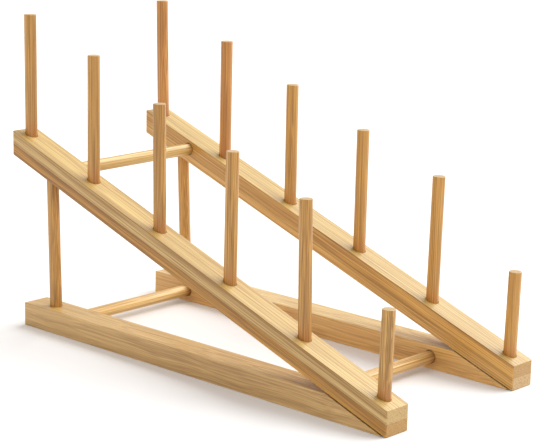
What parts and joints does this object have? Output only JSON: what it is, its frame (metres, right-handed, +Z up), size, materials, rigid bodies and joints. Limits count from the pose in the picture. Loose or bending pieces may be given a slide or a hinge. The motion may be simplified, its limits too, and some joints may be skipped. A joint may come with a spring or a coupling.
{
  "type": "dish drying rack",
  "caption": "Sloped bamboo dish drying rack: two side frames with upright pegs, joined by round cross rods, for plates, lids and boards.",
  "frame": {"origin": "on the worktop under the middle of the rack: the centre of the bounding box's bottom", "axes": "+X towards the low front end that water runs off, +Y towards the right side frame, +Z up"},
  "size_m": [0.333, 0.145, 0.2139],
  "materials": {
    "rail_top_bamboo": "satin",
    "rail_under_bamboo": "satin",
    "base_bamboo": "satin",
    "peg_bamboo": "satin",
    "post_bamboo": "satin",
    "rod_bamboo": "satin",
    "screw_steel": "satin"
  },
  "bodies": {
    "root": {"left_rail_upper_layer": "rail_top_bamboo", "left_rail_lower_layer": "rail_under_bamboo", "left_base_rail": "base_bamboo", "left_post": "post_bamboo", "left_peg_1": "peg_bamboo", "left_peg_2": "peg_bamboo", "left_peg_3": "peg_bamboo", "left_peg_4": "peg_bamboo", "left_peg_5": "peg_bamboo", "left_peg_6": "peg_bamboo", "left_wedge_screw_1": "screw_steel", "left_wedge_screw_2": "screw_steel", "right_rail_upper_layer": "rail_top_bamboo", "right_rail_lower_layer": "rail_under_bamboo", "right_base_rail": "base_bamboo", "right_post": "post_bamboo", "right_peg_1": "peg_bamboo", "right_peg_2": "peg_bamboo", "right_peg_3": "peg_bamboo", "right_peg_4": "peg_bamboo", "right_peg_5": "peg_bamboo", "right_peg_6": "peg_bamboo", "right_wedge_screw_1": "screw_steel", "right_wedge_screw_2": "screw_steel", "rear_upper_cross_rod": "rod_bamboo", "rear_lower_cross_rod": "rod_bamboo", "front_cross_rod": "rod_bamboo"}
  },
  "joints": []
}
